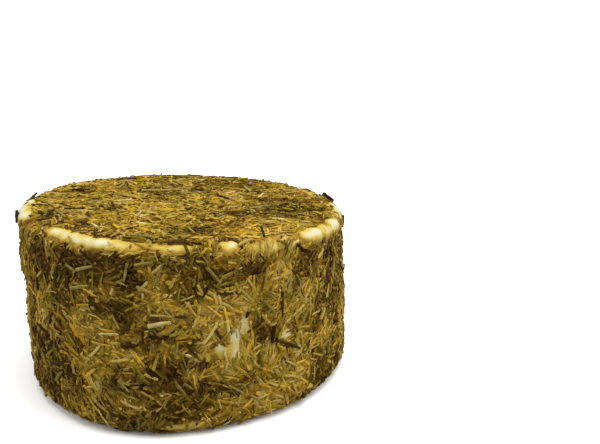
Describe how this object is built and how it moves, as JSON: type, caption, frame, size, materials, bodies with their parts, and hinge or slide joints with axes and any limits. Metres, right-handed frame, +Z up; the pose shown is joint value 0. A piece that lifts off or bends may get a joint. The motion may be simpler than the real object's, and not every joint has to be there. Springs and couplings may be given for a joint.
{
  "type": "rosemary-coated goat cheese",
  "caption": "Whole drum of soft goat cheese rolled in dried rosemary needles, with the ivory cheese bare along its rounded top rim.",
  "frame": {"origin": "middle of the flat underside", "axes": "+Z up, along the drum's axis; -Y is the side that faces the viewer; +X is to the viewer's right"},
  "size_m": [0.1026, 0.1011, 0.0554],
  "materials": {
    "herb_coat": "dry rosemary needles and crumbs pressed into the cheese, matt with a faint waxy sheen",
    "cheese_paste": "moist ivory cheese, soft satin, seen bare at the top rim"
  },
  "bodies": {
    "root": {"goat_cheese": "herb_coat"}
  },
  "joints": []
}
